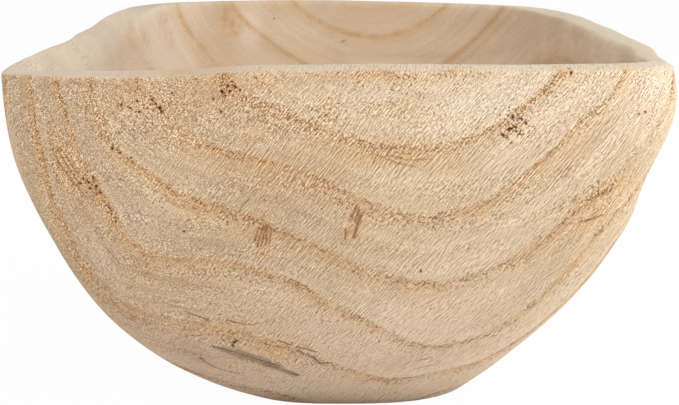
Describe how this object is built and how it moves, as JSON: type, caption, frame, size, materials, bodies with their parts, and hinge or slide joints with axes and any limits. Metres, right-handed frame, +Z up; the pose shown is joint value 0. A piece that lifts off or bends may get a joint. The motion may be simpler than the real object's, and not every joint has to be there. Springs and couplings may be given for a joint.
{
  "type": "dough bowl",
  "caption": "Long hand-carved wooden dough bowl with rounded corners, full walls that narrow to a flat foot, a wavy rim and a deep hollow for mixing, proving or serving.",
  "frame": {"origin": "middle of the bowl's box on the table, under the flat foot", "axes": "+Y along the length, away from the pictured end; +X to the right seen from that end; +Z up out of the hollow"},
  "size_m": [0.2646, 0.43, 0.1562],
  "materials": {
    "wood": "bare pale wood with wide growth rings, porous golden ring bands and fine sanding scratches"
  },
  "bodies": {
    "root": {"bowl": "wood"}
  },
  "joints": []
}
